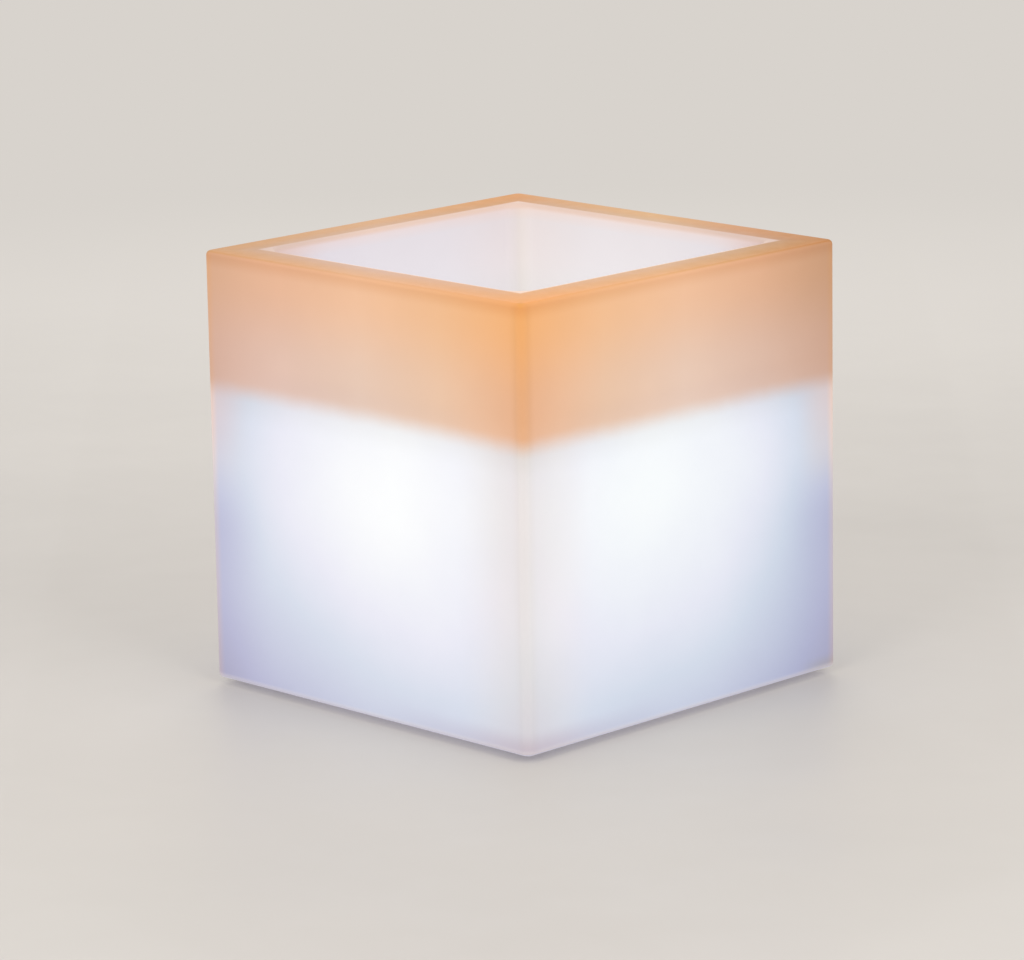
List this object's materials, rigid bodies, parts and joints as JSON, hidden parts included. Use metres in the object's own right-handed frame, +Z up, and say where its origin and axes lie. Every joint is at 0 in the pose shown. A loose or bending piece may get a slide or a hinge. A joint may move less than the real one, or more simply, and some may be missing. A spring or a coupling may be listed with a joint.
{
  "type": "illuminated planter",
  "caption": "Cube planter with a shallow planting bowl above a lit chamber, and a rechargeable lamp module screwed into its underside.",
  "frame": {"origin": "centre of the footprint, on the ground that the four feet stand on", "axes": "+Z up; +X and +Y square to the body's sides; the charging bay is towards +X and +Y of the middle"},
  "size_m": [0.4, 0.4, 0.4],
  "materials": {
    "planter_shell": "satin rotomoulded translucent polyethylene, white where lit and peach in the upper band",
    "insert_brass": "machined",
    "foot_rubber": "matt grey rubber",
    "screw_steel": "stainless",
    "cover_plastic": "satin moulded",
    "gasket_rubber": "matt",
    "housing_plastic": "satin moulded",
    "lamp_board": "white solder resist on aluminium",
    "lamp_chip": "lamp package",
    "dome_opal": "opal diffuser",
    "tray_plastic": "moulded",
    "cell_wrap": "shrink sleeve",
    "link_nickel": "nickel strip",
    "strap_steel": "zinc plated",
    "board_laminate": "solder resist",
    "board_part": "moulded packages",
    "switch_plastic": "moulded",
    "plunger_plastic": "moulded",
    "button_rubber": "matt grey silicone",
    "jack_plastic": "moulded",
    "nut_steel": "nickel plated",
    "cap_rubber": "matt",
    "lead_red": "insulated wire pair",
    "lead_black": "insulated wire pair"
  },
  "bodies": {
    "planter": {"planter_body": "planter_shell", "threaded_inserts": "insert_brass", "feet": "foot_rubber", "foot_screws": "screw_steel", "base_cover": "cover_plastic", "cover_gasket": "gasket_rubber", "cover_screws": "screw_steel", "light_housing": "housing_plastic", "housing_screws": "screw_steel", "led_board": "lamp_board", "led_chips": "lamp_chip", "led_board_screws": "screw_steel", "dome_seal": "gasket_rubber", "led_dome": "dome_opal", "dome_screws": "screw_steel", "battery_tray": "tray_plastic", "battery_cells": "cell_wrap", "cell_links": "link_nickel", "battery_straps": "strap_steel", "strap_screws": "screw_steel", "control_board": "board_laminate", "board_parts": "board_part", "board_screws": "screw_steel", "switch_body": "switch_plastic", "charge_jack": "jack_plastic", "jack_nut": "nut_steel", "cap_anchor": "cap_rubber", "led_lead": "lead_red", "battery_lead": "lead_red", "jack_lead": "lead_black"},
    "button": {"power_button": "button_rubber", "switch_plunger": "plunger_plastic"},
    "socket_cap": {"jack_cap": "cap_rubber"}
  },
  "joints": [
    {"name": "power_press", "type": "slide", "parent": "planter", "child": "button", "axis": [0, 0, 1], "range_m": [0, 0.0013], "stiffness_N_per_m": 300, "springref_m": -0.002},
    {"name": "cap_swing", "type": "hinge", "parent": "planter", "child": "socket_cap", "pos_m": [0.045, 0.034, 0.0196], "axis": [0, -1, 0], "range_deg": [0, 110]}
  ]
}
